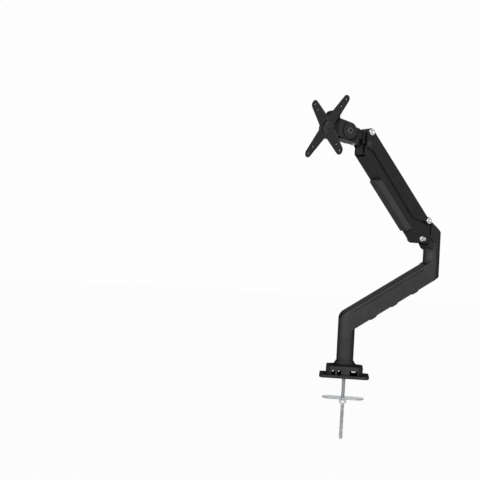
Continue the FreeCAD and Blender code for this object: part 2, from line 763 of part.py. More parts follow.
def beam_casting():
    far = beam_length
    side = [
        (8.2, roof_line(8.2)), (far - 1, roof_line(far - 1)), (far + 7.2, 2.5), (far + 5, -8), (far - 9.4,
                                                                                                -23.7),
        (far - 12, -27), (far - 24, -27), (far - 28.5, -beam_skirt_head), (32, -beam_skirt_elbow), (2, -7.5),
        (0, 0),
    ]
    half = beam_half
    wall = side_profile(side, half, [0.5, 3, 1.5, 0, 1, 4, 3, 2, 5, 0, 0])
    wall = wall.fuse([cross_pin(boss_radius, -half, half, x, 0) for x in (0, far)]).removeSplitter()

    def upper_edge(edge):
        point = middle(edge)
        on_roof = abs(point.z - roof_line(point.x)) < 0.05
        return on_roof and abs(abs(point.y) - half) < 0.01 and edge.Length > 50

    wall = soften(wall, 1.6, upper_edge)
    inner = half - beam_wall
    hollow = [(-20, -60), (-20, 30), (12, 30), (12, roof_line(12) - beam_roof),
              (far - 12, roof_line(far - 12) - beam_roof), (far - 12, 30), (far + 20, 30), (far + 20, -60)]
    beam = wall.cut(side_profile(hollow, inner, [0, 0, 0, 0, 0, 0, 0, 0]))
    roof_gap = mount_x - 24
    for x in (roof_gap, 70.0):
        rib = box(x - 1.2, x + 1.2, -inner - 0.5, inner + 0.5, 0, roof_line(x) - 1.0)
        beam = beam.fuse(rib)
    lug = [(mount_x - 13, roof_line(mount_x) - 1.5), (mount_x - 6.5, -spring_mount_drop - 2),
           (mount_x - 3, -spring_mount_drop - 6.2), (mount_x + 3, -spring_mount_drop - 6.2),
           (mount_x + 6.5, -spring_mount_drop - 2), (mount_x + 13, roof_line(mount_x) - 1.5)]
    web = side_profile(lug, 8.6, [0, 2, 2, 2, 2, 0]).cut(side_profile(lug, 5.0))
    beam = beam.fuse(web)
    beam = beam.cut(cross_pin(mount_pin_radius, -30, 30, mount_x, -spring_mount_drop).common(
        box(0, far, -9, 9, -60, 30)))
    for x in (0, far):
        beam = beam.cut(cross_pin(pin_radius + running_gap, -40, 40, x, 0))
    beam = beam.cut(cross_pin(plug_radius - 1.6, -40, 40, far - plug_back, -plug_drop))
    return beam.removeSplitter()


def beam_plug():
    x = beam_length - plug_back
    head = cross_pin(plug_radius, beam_half, beam_half + plug_proud, x, -plug_drop)
    head = soften(head, 0.5, lambda edge: middle(edge).y > beam_half + 0.7)
    stem = cross_pin(plug_radius - 1.6, beam_half - beam_wall, beam_half, x, -plug_drop)
    return head.fuse(stem).removeSplitter()


save("beam_casting", place(beam_casting(), beam_frame))
save("beam_plugs", place(both_sides(beam_plug()), beam_frame))
mount_pin = cross_pin(mount_pin_radius, -8.6, 8.6, mount_x, -spring_mount_drop)
save("spring_mount_pin", place(mount_pin, beam_frame))


# ---- gas spring ---------------------------------------------------------------------------------
anchor = beam_frame.inverse().multVec(slider_frame.multVec(V(0, 0, 0)))
to_mount = V(mount_x, 0, -spring_mount_drop).sub(anchor)
spring_length = to_mount.Length
spring_frame = beam_frame.multiply(pitched(anchor.x, anchor.z, math.degrees(math.atan2(to_mount.z,
                                                                                       to_mount.x))))


def spring_rod():
    inner_end = spring_length - 60.0
    rod = Part.makeCylinder(spring_rod_radius, inner_end - 4.0, V(4.0, 0, 0), V(1, 0, 0))
    eye = cross_pin(anchor_pin_radius + eye_wall, -eye_thickness / 2, eye_thickness / 2, 0, 0)
    eye = soften(eye, 0.6, lambda edge: edge.Length > 10)
    rod = rod.fuse(eye)
    return rod.cut(cross_pin(anchor_pin_radius + running_gap, -10, 10, 0, 0)).removeSplitter()


def spring_cylinder():
    end = spring_length - 12.0
    start = end - cylinder_length
    tube = Part.makeCylinder(cylinder_radius, cylinder_length, V(start, 0, 0), V(1, 0, 0))
    tube = soften(tube, 1.5, lambda edge: edge.Length > 30)
    tube = tube.cut(Part.makeCylinder(spring_rod_radius + running_gap, end - 12.0 - start + 1, V(start - 1,
                                                                                                 0, 0),
                                      V(1, 0, 0)))
    side = mount_pin_radius + eye_play_side
    along = mount_pin_radius + eye_play_along
    x = spring_length
    z = eye_play_shift
    eye = [(x - along - 3, z - side - 1), (x - 2, z - side - 3)]
    eye += [(x + 2, z - side - 3), (x + along + 3, z - side - 1)]
    eye += [(x + along + 3, z + side + 1), (x + 2, z + side + 3)]
    eye += [(x - 2, z + side + 3), (x - along - 3, z + side + 1)]
    half = eye_thickness / 2
    lug = side_profile(eye, half, [2] * 8)
    slot_corners = [(x - along, z - side), (x + along, z - side), (x + along, z + side), (x - along, z + side)]
    slot = side_profile(slot_corners, half + 1, [mount_pin_radius] * 4)
    tube = tube.fuse([lug, box(end - 3, x - along - 1, -half, half, -5, 5)])
    return tube.cut(slot).removeSplitter()


save("spring_rod", place(spring_rod(), spring_frame))
save("spring_cylinder", place(spring_cylinder(), spring_frame))


# ---- link ---------------------------------------------------------------------------------------
shell_half = beam_half - beam_wall - 0.4
shell_inner = shell_half - shell_wall
screw_turn = math.radians(lift_angle)
shell_screw_x = shell_screw_forward * math.cos(screw_turn)
shell_screw_z = -shell_screw_forward * math.sin(screw_turn)


def floor_line(x):
    """Height of the shell's underside in the link's frame."""
    return -shell_floor_elbow + (shell_floor_elbow - shell_floor_head) * x / beam_length


def link_bar():
    bar = box(0, beam_length, bar_half - bar_thickness, bar_half, -bar_height / 2, bar_height / 2)
    for x in (0, beam_length):
        bar = bar.fuse(cross_pin(bar_height / 2 + 0.8, bar_half - bar_thickness, bar_half, x, 0))
    bar = bar.cut(cross_pin(pin_radius, 0, 20, 0, 0))
    bar = bar.cut(cross_pin(end_pin_radius, 0, 20, beam_length, 0))
    bar = bar.fuse(cross_pin(4.2, bar_half - bar_thickness, bar_half, shell_screw_x, shell_screw_z))
    return bar.cut(cross_pin(1.9, 0, 20, shell_screw_x, shell_screw_z)).removeSplitter()


def shell_side_outline():
    far = beam_length
    return [(-34, 33), (20, 33), (28, shell_top), (far + 12, shell_top), (far + 11, 5.0), (far - 0.5,
                                                                                           floor_line(far)),
            (10, floor_line(10)), (-34, floor_line(-34))]


def link_shell():
    side = side_profile(shell_side_outline(), shell_half, [0, 0, 6, 2.0, 3.0, 3.0, 0, 0])
    disc = cross_pin(33.0, -40, 40, 0, 0)
    ahead = box(20, 400, -40, 40, -60, shell_top + 0.01)
    side = side.common(disc.fuse(ahead)).removeSplitter()

    def lower_edge(edge):
        point = middle(edge)
        return abs(point.z - floor_line(point.x)) < 0.02 and edge.Length > 100

    side = soften(side, shell_edge, lower_edge, True)
    shell = side.cut(side_profile([(-60, floor_line(-60) + shell_wall), (300, floor_line(300) + shell_wall),
                                   (300, 80), (-60, 80)], shell_inner))
    shell = shell.cut(box(beam_length - 7, beam_length + 40, -shell_inner, shell_inner, -40, 40))
    shell = shell.cut(box(-60, 3, -shell_inner, shell_inner, -40, 40))
    for x in cross_ribs:
        rib = box(x - 1.5, x + 1.5, -shell_inner - 0.5, shell_inner + 0.5, floor_line(x) + 1.0, 2.0)
        notch = box(x - 3, x + 3, bar_half - bar_thickness, bar_half, -bar_height / 2, 10)
        shell = shell.fuse(rib.cut(both_sides(notch)))
    radius = link_x - block_front - side_gap
    lean = math.degrees(math.atan(block_lean / 28.4))
    raised = pitched(0, 0, -(lift_angle + lift_limit))
    corner = block_low + block_step - link_z
    behind = place(box(-80, 0, -40, 40, -30, 80), pitched(-radius, corner, -lean))
    behind = behind.cut(box(-80, 80, -40, 40, -80, corner - 0.5))
    below = box(-80, 0, -40, 40, -80, corner + 0.5).cut(cross_pin(radius, -40, 40, 0, 0))
    shell = shell.cut(place(behind, raised)).cut(place(below, raised))
    level = pitched(0, 0, -lift_angle)
    shell = shell.cut(place(box(-60, 60, -40, 40, -60, -8.6), level))
    shell = shell.cut(cross_pin(pin_radius, -40, 40, 0, 0))
    shell = shell.cut(cross_pin(1.9, -40, 40, shell_screw_x, shell_screw_z))
    return shell.removeSplitter()


def link_cover():
    """Trough for the cables under the shell: flat bottom, two slanted faces, square ends."""
    slant = shell_half - cover_bottom_width / 2
    top = -cover_drop + slant

    def section(inset):
        half = shell_half - inset
        low = -cover_drop + inset
        bottom = cover_bottom_width / 2 - inset * 0.41
        return [(-half, 20), (-half, top + inset * 0.41), (-bottom, low), (bottom, low),
                (half, top + inset * 0.41),
                (half, 20)]

    cover = cross_section(section(0), cover_start, cover_end)
    cover = cover.cut(cross_section(section(cover_wall), cover_start + cover_wall, cover_end - cover_wall))
    for x in cover_screw_places:
        cover = cover.cut(Part.makeCylinder(3.0, 1.1, V(x, 0, -cover_drop - 0.05), V(0, 0, 1)))
        cover = cover.cut(Part.makeCylinder(1.5, 5.0, V(x, 0, -cover_drop - 0.01), V(0, 0, 1)))
    above = side_profile([(0, floor_line(0)), (300, floor_line(300)), (300, 60), (0, 60)], 40)
    return place(cover, cover_lean).cut(above).removeSplitter()


cover_screw_places = (cover_start + cover_screw_inset, cover_end - cover_screw_inset)
floor_rise = math.degrees(math.atan2(shell_floor_elbow - shell_floor_head, beam_length))
cover_lean = pitched(cover_start, 0, floor_rise).multiply(FreeCAD.Placement(V(-cover_start, 0, 0),
                                                                            FreeCAD.Rotation()))


def link_cover_screws():
    screws = []
    for x in cover_screw_places:
        screw = Part.makeCylinder(2.9, 1.0, V(x, 0, -cover_drop), V(0, 0, 1))
        screw = screw.fuse(Part.makeCylinder(1.5, 3.0, V(x, 0, -cover_drop), V(0, 0, 1)))
        socket = Part.makeCylinder(1.1, 0.7, V(x, 0, -cover_drop), V(0, 0, 1))
        screws.append(screw.cut(socket).removeSplitter())
    return screws


def link_pin():
    pin = cross_pin(pin_radius, -shell_half, shell_half, 0, 0)
    return soften(pin, 0.4, lambda edge: edge.Length > 10 and abs(middle(edge).y) > 1, True)


save("link_bars", place(both_sides(link_bar()), link_frame))
save("link_shell", place(link_shell(), link_frame))
save("link_cover", place(link_cover(), link_frame))
save("link_cover_screws", place(place(link_cover_screws(), cover_lean), link_frame))
save("link_pin", place(link_pin(), link_frame))
link_end_pin = cross_pin(end_pin_radius, -bar_half, bar_half, beam_length, 0)
save("link_end_pin", place(link_end_pin, link_frame))
shell_washer = ring(1.95, shell_washer_radius, shell_half, shell_half + 0.6, shell_screw_x, shell_screw_z)
save("shell_screw_washers", place(both_sides(shell_washer), link_frame))
shell_screw = cross_head_screw(shell_screw_radius, 2.0, 1.9, shell_half + 0.6 - bar_half + bar_thickness,
                               shell_half + 0.6, shell_screw_x, shell_screw_z)
save("shell_screws", place(both_sides(shell_screw), link_frame))


# ---- head ---------------------------------------------------------------------------------------
def head_bracket():
    knuckle = cross_pin(7.5, -cheek_outer, cheek_outer, 0, 0)
    web_top = barrel_top + 2.0
    neck = side_profile([(0.5, 6.8), (web_front - 3, web_top - 0.3), (web_front - 3, -14.0), (0.5, -6.8)],
                        web_half - 0.4)
    web = box(web_back, web_front, -web_half, web_half, web_low, web_top)
    web = soften(web, 1.5, lambda edge: abs(edge.tangentAt(edge.FirstParameter).z) > 0.99)
    barrel = post(barrel_radius, barrel_bottom, barrel_top, swivel_forward)
    arm = box(web_front - 1, swivel_forward, -lug_half, lug_half, barrel_bottom + 0.5, barrel_top - 0.5)
    lug = strap(web_front - 6.0, web_low + 6.0, 5.5, link_forward, -link_drop, 6.5, lug_half)
    bracket = knuckle
    for piece in (neck, web, barrel, arm, lug):
        bracket = bracket.fuse(piece)
    bracket = bracket.removeSplitter()
    bracket = bracket.cut(cross_pin(pin_radius, -40, 40, 0, 0))
    bracket = bracket.cut(cross_pin(end_pin_radius + 0.35, -40, 40, link_forward, -link_drop))
    for mouth, depth in ((barrel_top, -5.0), (barrel_bottom, 5.0)):
        low, high = sorted((mouth + math.copysign(1.0, -depth), mouth + depth))
        bracket = bracket.cut(post(swivel_pin_radius + 1.5, low, high, swivel_forward))
    return bracket.cut(post(swivel_pin_radius + 1.0, -60, 60, swivel_forward)).removeSplitter()


def swivel_bushes():
    bushes = []
    for mouth, depth in ((barrel_top, -5.0), (barrel_bottom, 5.0)):
        low, high = sorted((mouth, mouth + depth))
        sleeve = post(swivel_pin_radius + 1.5, low, high, swivel_forward)
        flange = sorted((mouth, mouth - math.copysign(fork_gap - running_gap, depth)))
        sleeve = sleeve.fuse(post(barrel_radius - 1.0, flange[0], flange[1], swivel_forward))
        bore = post(swivel_pin_radius + running_gap, low - 2, high + 2, swivel_forward)
        bushes.append(sleeve.cut(bore).removeSplitter())
    return bushes


def swivel_pin():
    pin = post(swivel_pin_radius, foot_seat, cap_seat, swivel_forward)
    cap = post(6.2, cap_seat, cap_seat + 2.0, swivel_forward)
    cap = soften(cap, 0.8, lambda edge: middle(edge).z > cap_seat + 1.9, True)
    foot = post(5.2, foot_seat - 2.2, foot_seat, swivel_forward)
    foot = soften(foot, 0.6, lambda edge: middle(edge).z < foot_seat - 2.1, True)
    return pin.fuse([cap, foot]).removeSplitter()


def swivel_block():
    """Tilt block with a fork at the back that holds the head bracket's barrel."""
    back = swivel_forward - fork_radius
    front = tilt_forward + 15.0
    body = side_profile([
        (back - 1, fork_low), (front, block_low_front), (front + 0.5, block_low_front + 9.0),
        (tilt_forward + 2.0, tilt_height + block_radius - 0.4), (tilt_forward - 3.5, block_top),
        (back - 1, fork_top),
    ], block_half, [0, 6.0, 0, 0, 0, 0])
    wide = swivel_forward + fork_radius
    plan = plan_profile([(swivel_forward, -fork_radius), (wide - 4.0, -fork_radius), (wide + 1.0,
                                                                                      -block_half),
                         (front + 2, -block_half), (front + 2, block_half), (wide + 1.0, block_half),
                         (wide - 4.0, fork_radius), (swivel_forward, fork_radius)], -60, 60)
    plan = plan.fuse(post(fork_radius, -60, 60, swivel_forward)).removeSplitter()
    body = body.common(plan).removeSplitter()
    body = body.fuse(cross_pin(block_radius, -block_half, block_half, tilt_forward,
                               tilt_height)).removeSplitter()
    low = barrel_bottom - fork_gap
    high = barrel_top + fork_gap
    room = post(barrel_radius + 1.2, low, high, swivel_forward)
    room = room.fuse(box(back - 5, swivel_forward, -30, 30, low, high)).removeSplitter()
    body = body.cut(room)
    body = body.cut(post(swivel_pin_radius, -60, 60, swivel_forward))
    body = body.cut(post(6.7, cap_seat, 30, swivel_forward))
    body = body.cut(post(6.7, -60, foot_seat, swivel_forward))
    return body.cut(cross_pin(tilt_bolt_radius, -40, 40, tilt_forward, tilt_height)).removeSplitter()


def cable_hook():
    """Strip screwed on top of the block, whose tongue points back along the arm."""
    low = tilt_height + block_radius
    outline = [(tilt_forward - 6.0, low - 0.3), (tilt_forward + 3.0, low - 0.3), (tilt_forward + 3.0,
                                                                                  low + 1.6),
               (tilt_forward - 20.0, low + 2.6), (tilt_forward - 20.0, low + 1.2), (tilt_forward - 9.0,
                                                                                    low + 0.4)]
    hook = side_profile(outline, 5.0, [0, 0, 1.0, 0.5, 0.5, 2.0])
    rim = cross_pin(block_radius, -20, 20, tilt_forward, tilt_height)
    hook = hook.cut(rim)
    hook = hook.cut(post(hook_screw_head, low + hook_seat, low + 5, tilt_forward - 1.0))
    return hook.cut(post(2.0, low - 2, low + 5, tilt_forward - 1.0)).removeSplitter()


def hook_screw():
    top = tilt_height + block_radius + hook_seat
    head = post(hook_screw_head, top, top + 1.6, tilt_forward - 1.0)
    head = soften(head, 0.8, lambda edge: middle(edge).z > top + 1.5)
    head = head.cut(box(tilt_forward - 3.2, tilt_forward + 1.2, -0.4, 0.4, top + 0.8, top + 3))
    return head.fuse(post(2.0, top - hook_seat, top, tilt_forward - 1.0)).removeSplitter()


save("head_bracket", place(head_bracket(), head_frame))
pivot_hardware("head_pivot", 0, 0, 7.0, head_frame)
save("swivel_pin", place(swivel_pin(), head_frame))
save("swivel_bushes", place(swivel_bushes(), head_frame))
save("swivel_block", place(swivel_block(), head_frame))
save("cable_hook", place(cable_hook(), head_frame))


# ---- tilt ---------------------------------------------------------------------------------------
cheek_half = block_half + 0.6 + tilt_cheek


def tilt_bracket():
    back_face = tilt_face - tilt_plate
    circle = cross_pin(tilt_cheek_radius, -cheek_half, cheek_half, 0, 0)
    top = math.atan2(tilt_top, tilt_face)
    top_reach = math.hypot(tilt_top, tilt_face)
    low = math.atan2(tilt_bottom, tilt_face)
    low_reach = math.hypot(tilt_bottom, tilt_face)
    upper = top + math.acos(tilt_cheek_radius / top_reach)
    lower = low - math.acos(tilt_cheek_radius / low_reach)
    outline = [
        (tilt_face, tilt_bottom), (tilt_face, tilt_top),
        (tilt_cheek_radius * math.cos(upper), tilt_cheek_radius * math.sin(upper)),
        (0, 0),
        (tilt_cheek_radius * math.cos(lower), tilt_cheek_radius * math.sin(lower)),
    ]
    bracket = circle.fuse(side_profile(outline, cheek_half)).removeSplitter()
    room = box(-40, back_face, -block_half - 0.6, block_half + 0.6, -60, 60)
    bracket = bracket.cut(soften(room, 2.0, lambda edge: abs(middle(edge).x - back_face) < 0.01
                                 and abs(edge.tangentAt(edge.FirstParameter).z) > 0.99))
    bracket = soften(bracket, 0.8, lambda edge: abs(abs(middle(edge).y) - cheek_half) < 0.01
                     and edge.Length > 8 and middle(edge).x < tilt_face - 0.1)
    bracket = bracket.cut(cross_pin(tilt_bolt_radius + running_gap, -40, 40, 0, 0))
    return bracket.cut(Part.makeCylinder(3.0, 20, V(15, 0, 0), V(1, 0, 0))).removeSplitter()


def friction_disc():
    disc = cross_pin(disc_radius, cheek_half, cheek_half + disc_thickness, 0, 0)
    disc = soften(disc, 1.0, lambda edge: middle(edge).y > cheek_half + 2.9)
    disc = disc.cut(cross_pin(tilt_bolt_head + 0.5, cheek_half + disc_seat, cheek_half + 9, 0, 0))
    return disc.cut(cross_pin(tilt_bolt_radius + running_gap, 0, 40, 0, 0))


def tilt_bolt():
    face = cheek_half + disc_seat + running_gap
    end = cheek_half + disc_thickness + running_gap + 7.5
    shank = cross_pin(tilt_bolt_radius, -end, face, 0, 0)
    head = cross_pin(tilt_bolt_head, face, face + 2.0, 0, 0)
    head = soften(head, 0.6, lambda edge: middle(edge).y > face + 1.9)
    socket = hexagon(6.0, face - 1.4, face + 5)
    socket = place(socket, FreeCAD.Placement(V(0, 0, 0), FreeCAD.Rotation(V(1, 0, 0), -90)))
    return shank.fuse(head).cut(socket).removeSplitter()


def tilt_nut():
    face = cheek_half + disc_thickness + running_gap
    nut = place(hexagon(16.0, face, face + 7.0), FreeCAD.Placement(V(0, 0, 0), FreeCAD.Rotation(V(1, 0, 0),
                                                                                                90)))
    return nut.cut(cross_pin(tilt_bolt_radius, -60, 60, 0, 0))


save("tilt_bracket", place(tilt_bracket(), tilt_frame))
save("friction_discs", place(both_sides(friction_disc()), tilt_frame))
save("tilt_bolt", place(tilt_bolt(), tilt_frame))
save("tilt_nut", place(tilt_nut(), tilt_frame))


# ---- plate --------------------------------------------------------------------------------------
hub_front = tilt_face + hub_thickness
boss_back = hub_front + turn_gap
boss_front = boss_back + boss_thickness
plate_front = boss_front + plate_thickness


def forward(radius, start, end, y=0.0, z=0.0):
    return Part.makeCylinder(radius, end - start, V(start, y, z), V(1, 0, 0))


def rotation_hub():
    outline = [(-cheek_half, hub_bottom), (cheek_half, hub_bottom)]
    outline += [(cheek_half, hub_top), (-cheek_half, hub_top)]
    hub = cross_section(outline, tilt_face, hub_front, [hub_corner / 2] * 2 + [hub_corner] * 2)
    hub = soften(hub, 1.0, lambda edge: abs(middle(edge).x - hub_front) < 0.01)
    spigot = forward(spigot_radius, hub_front - 0.5, boss_front + running_gap)
    hub = hub.fuse(spigot)
    return hub.cut(forward(3.0, 0, 60)).removeSplitter()


def turning_boss():
    boss = forward(turn_boss_radius, boss_back, boss_front)
    boss = soften(boss, 0.8, lambda edge: edge.Length > 100)
    return boss.cut(forward(spigot_radius + running_gap, 0, 60)).removeSplitter()


def mounting_plate():
    """Sheet with four arms to the outer holes, drawn in the plane square to its axis."""
    outer = plate_square / 2
    shape = forward(plate_waist, boss_front, plate_front)
    for side_y in (-1, 1):
        for side_z in (-1, 1):
            shape = shape.fuse(forward(plate_corner, boss_front, plate_front, side_y * outer,
                                       side_z * outer))
            along = V(0, side_y, side_z).normalize()
            across = V(0, -along.z, along.y)
            centre = V(boss_front, 0, 0)
            tip = V(boss_front, side_y * outer, side_z * outer)
            corners = [centre.add(across * plate_arm_root), tip.add(across * plate_corner),
                       tip.sub(across * plate_corner), centre.sub(across * plate_arm_root)]
            arm = Part.Face(Part.makePolygon(corners + [corners[0]])).extrude(V(plate_thickness, 0, 0))
            shape = shape.fuse(arm)
    shape = shape.removeSplitter()
    for square in (plate_square, plate_inner_square):
        for side_y in (-1, 1):
            for side_z in (-1, 1):
                shape = shape.cut(forward(plate_hole, 0, 60, side_y * square / 2, side_z * square / 2))
    shape = shape.cut(forward(retainer_radius + 0.5, 0, 60))
    return shape.removeSplitter()


def retaining_washer():
    """Wide washer on the hub's spigot that keeps the turning boss on."""
    back = boss_front + running_gap
    return forward(retainer_radius, back, back + 1.2).cut(forward(3.0, 0, 60))


def rim_screws():
    screws = []
    for i in range(4):
        turn = math.radians(90 * i)
        y = rim_screw_circle * math.cos(turn)
        z = rim_screw_circle * math.sin(turn)
        head = Part.makeCone(3.0, 1.4, 1.6, V(plate_front, y, z), V(-1, 0, 0))
        shank = forward(1.4, boss_back + 0.6, plate_front - 1.5, y, z)
        screws.append(head.fuse(shank).removeSplitter())
    return screws


def centre_screw():
    face = boss_front + running_gap + 1.2
    head = forward(7.5, face, face + 1.2)
    head = soften(head, 0.6, lambda edge: middle(edge).x > face + 1.1)
    shank = forward(3.0, tilt_face - tilt_plate - 3.5, face + 0.2)
    head = head.fuse(shank)
    socket = place(hexagon(4.0, 0, 3), FreeCAD.Placement(V(face + 0.4, 0, 0), FreeCAD.Rotation(V(0, 1, 0),
                                                                                               90)))
    return head.cut(socket).removeSplitter()


def centre_nut():
    face = tilt_face - tilt_plate
    nut = place(hexagon(9.0, 0, 3.2), FreeCAD.Placement(V(face - 3.2, 0, 0), FreeCAD.Rotation(V(0, 1, 0),
                                                                                              90)))
    return nut.cut(forward(3.0, 0, 60))


plate_shape = mounting_plate()
boss_shape = turning_boss()
for screw in rim_screws():
    plate_shape = plate_shape.cut(screw)
    boss_shape = boss_shape.cut(screw)
save("rotation_hub", place(rotation_hub(), tilt_frame))
save("turning_boss", place(boss_shape, tilt_frame))
save("mounting_plate", place(plate_shape, tilt_frame))
save("plate_screws", place(rim_screws(), tilt_frame))
save("retaining_washer", place(retaining_washer(), tilt_frame))
save("centre_screw", place(centre_screw(), tilt_frame))
save("centre_nut", place(centre_nut(), tilt_frame))
save("hook_screw", place(hook_screw(), head_frame))
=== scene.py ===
# Desk-mounted monitor arm: finishes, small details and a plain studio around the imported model.
import math
import bpy
from mathutils import Matrix, Vector


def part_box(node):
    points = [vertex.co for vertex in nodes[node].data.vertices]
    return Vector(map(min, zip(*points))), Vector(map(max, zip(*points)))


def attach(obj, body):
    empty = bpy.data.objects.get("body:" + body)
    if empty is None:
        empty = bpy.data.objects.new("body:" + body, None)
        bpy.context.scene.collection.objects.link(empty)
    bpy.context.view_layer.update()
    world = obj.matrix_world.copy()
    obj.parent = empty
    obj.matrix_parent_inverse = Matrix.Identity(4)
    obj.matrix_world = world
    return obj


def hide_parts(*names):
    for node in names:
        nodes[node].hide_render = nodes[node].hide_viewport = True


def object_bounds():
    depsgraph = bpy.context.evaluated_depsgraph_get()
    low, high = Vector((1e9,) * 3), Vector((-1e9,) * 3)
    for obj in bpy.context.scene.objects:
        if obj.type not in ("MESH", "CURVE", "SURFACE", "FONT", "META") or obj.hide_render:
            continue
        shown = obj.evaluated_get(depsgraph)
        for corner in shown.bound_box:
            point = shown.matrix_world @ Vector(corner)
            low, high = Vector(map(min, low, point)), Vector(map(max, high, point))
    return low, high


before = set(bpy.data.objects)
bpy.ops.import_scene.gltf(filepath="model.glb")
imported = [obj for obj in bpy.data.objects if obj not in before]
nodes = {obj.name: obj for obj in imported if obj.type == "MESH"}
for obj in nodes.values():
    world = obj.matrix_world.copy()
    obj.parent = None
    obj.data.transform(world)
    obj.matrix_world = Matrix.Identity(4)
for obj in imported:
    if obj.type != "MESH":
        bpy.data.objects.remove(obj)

cadLow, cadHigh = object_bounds()
middle = (cadLow + cadHigh) / 2.0


# the camera stands a little over two metres in front, at the height of the lower arm
productView = {
    "place": (-0.02226, -2.13813, 0.23579),
    "heading": -5.54,      # degrees from +Y, towards -X
    "upTilt": 0.92,
    "roll": 3.09,
    "lens": 77.3,
    "sensorWidth": 36.0,
    "near": 0.05,
    "far": 60.0,
}


def addCamera(view):
    data = bpy.data.cameras.new("productCamera")
    data.lens = view["lens"]
    data.sensor_width = view["sensorWidth"]
    data.clip_start = view["near"]
    data.clip_end = view["far"]
    camera = bpy.data.objects.new("productCamera", data)
    bpy.context.scene.collection.objects.link(camera)
    turn = Matrix.Rotation(math.radians(-view["heading"]), 4, "Z")
    # a camera looks down -Z, so a right angle brings it level
    lift = Matrix.Rotation(math.radians(90.0 + view["upTilt"]), 4, "X")
    roll = Matrix.Rotation(math.radians(view["roll"]), 4, "Z")
    camera.matrix_world = Matrix.Translation(view["place"]) @ turn @ lift @ roll
    bpy.context.scene.camera = camera


addCamera(productView)
print("camera set")


# one upright softbox by the camera, narrow strips on both sides for the edges, and one box behind
studio = {
    "floorGap": 0.002,
    "floorRadius": 9.0,
    "floorSides": 96,
    "floorColour": (0.20, 0.20, 0.20, 1.0),
    "floorWhite": 0.97,    # share of plain white that the camera sees, the rest is the lit floor
    "floorGlow": (1.0, 1.0, 1.0, 1.0),
    "white": (0.985, 0.985, 0.985, 1.0),
    "skyColour": (1.0, 1.0, 1.0, 1.0),
    "skyStrength": 0.13,
    "lamps": {
        "keyBox": {"away": (-0.25, -2.35, 0.60), "width": 0.30, "height": 1.0, "power": 51.0},
        "leftBox": {"away": (-1.45, -1.80, 0.30), "width": 0.12, "height": 1.6, "power": 2.0},
        "rightBox": {"away": (1.30, -1.90, 0.50), "width": 0.12, "height": 1.6, "power": 2.0},
        "backBox": {"away": (0.9, 1.9, 1.9), "width": 1.4, "height": 1.0, "power": 24.0},
    },
}


def addLamp(name, lamp):
    data = bpy.data.lights.new(name, "AREA")
    data.shape = "RECTANGLE"
    data.size = lamp["width"]
    data.size_y = lamp["height"]
    data.energy = lamp["power"]
    light = bpy.data.objects.new(name, data)
    bpy.context.scene.collection.objects.link(light)
    away = Vector(lamp["away"])
    aim = (-away).to_track_quat("-Z", "Y").to_matrix().to_4x4()
    light.matrix_world = Matrix.Translation(middle + away) @ aim


def calculate(tree, operation, first, second):
    # first is a socket, second a socket or a plain number
    step = tree.nodes.new("ShaderNodeMath")
    step.operation = operation
    tree.links.new(first, step.inputs[0])
    if isinstance(second, float):
        step.inputs[1].default_value = second
    else:
        tree.links.new(second, step.inputs[1])
    return step.outputs[0]


def whiteRays(tree):
    # 1 for the rays that should meet the white background: camera, mirror and see-through rays
    rays = tree.nodes.new("ShaderNodeLightPath")
    direct = calculate(tree, "MAXIMUM", rays.outputs["Is Camera Ray"], rays.outputs["Is Glossy Ray"])
    return calculate(tree, "MAXIMUM", direct, rays.outputs["Is Transmission Ray"])


def addWorld(values):
    world = bpy.data.worlds.new("studioWorld")
    bpy.context.scene.world = world
    world.use_nodes = True
    tree = world.node_tree
    tree.nodes.clear()
    output = tree.nodes.new("ShaderNodeOutputWorld")
    blend = tree.nodes.new("ShaderNodeMixShader")
    light = tree.nodes.new("ShaderNodeBackground")
    seen = tree.nodes.new("ShaderNodeBackground")
    light.inputs["Color"].default_value = values["skyColour"]
    light.inputs["Strength"].default_value = values["skyStrength"]
    seen.inputs["Color"].default_value = values["white"]
    tree.links.new(whiteRays(tree), blend.inputs[0])
    tree.links.new(light.outputs[0], blend.inputs[1])
    tree.links.new(seen.outputs[0], blend.inputs[2])
    tree.links.new(blend.outputs[0], output.inputs[0])


def addFloor(values):
    bpy.ops.object.select_all(action="DESELECT")
    bpy.ops.mesh.primitive_circle_add(
        vertices=values["floorSides"], radius=values["floorRadius"], fill_type="NGON",
        location=(0.0, 0.0, cadLow.z - values["floorGap"]))
    floor = bpy.context.object
    floor.name = "studioFloor"
    bpy.ops.object.transform_apply(location=True, rotation=True, scale=True)
    material = bpy.data.materials.new("paleFloor")
    material.use_nodes = True
    tree = material.node_tree
    tree.nodes.clear()
    output = tree.nodes.new("ShaderNodeOutputMaterial")
    blend = tree.nodes.new("ShaderNodeMixShader")
    matte = tree.nodes.new("ShaderNodeBsdfDiffuse")
    glow = tree.nodes.new("ShaderNodeEmission")
    matte.inputs["Color"].default_value = values["floorColour"]
    glow.inputs["Color"].default_value = values["floorGlow"]
    tree.links.new(calculate(tree, "MULTIPLY", whiteRays(tree), values["floorWhite"]), blend.inputs[0])
    tree.links.new(matte.outputs[0], blend.inputs[1])
    tree.links.new(glow.outputs[0], blend.inputs[2])
    tree.links.new(blend.outputs[0], output.inputs["Surface"])
    floor.data.materials.append(material)


for lampName, lampValues in studio["lamps"].items():
    addLamp(lampName, lampValues)
addWorld(studio)
addFloor(studio)
bpy.context.scene.view_settings.view_transform = "Standard"
print("studio set")


def startMaterial(name):
    material = bpy.data.materials.new(name)
    material.use_nodes = True
    tree = material.node_tree
    tree.nodes.clear()
    output = tree.nodes.new("ShaderNodeOutputMaterial")
    shader = tree.nodes.new("ShaderNodeBsdfPrincipled")
    tree.links.new(shader.outputs[0], output.inputs["Surface"])
    return material, tree, shader


def objectPoint(tree, stretch=(1.0, 1.0, 1.0)):
    place = tree.nodes.new("ShaderNodeTexCoord")
    mapping = tree.nodes.new("ShaderNodeMapping")
    mapping.inputs["Scale"].default_value = stretch
    tree.links.new(place.outputs["Object"], mapping.inputs["Vector"])
    return mapping.outputs["Vector"]


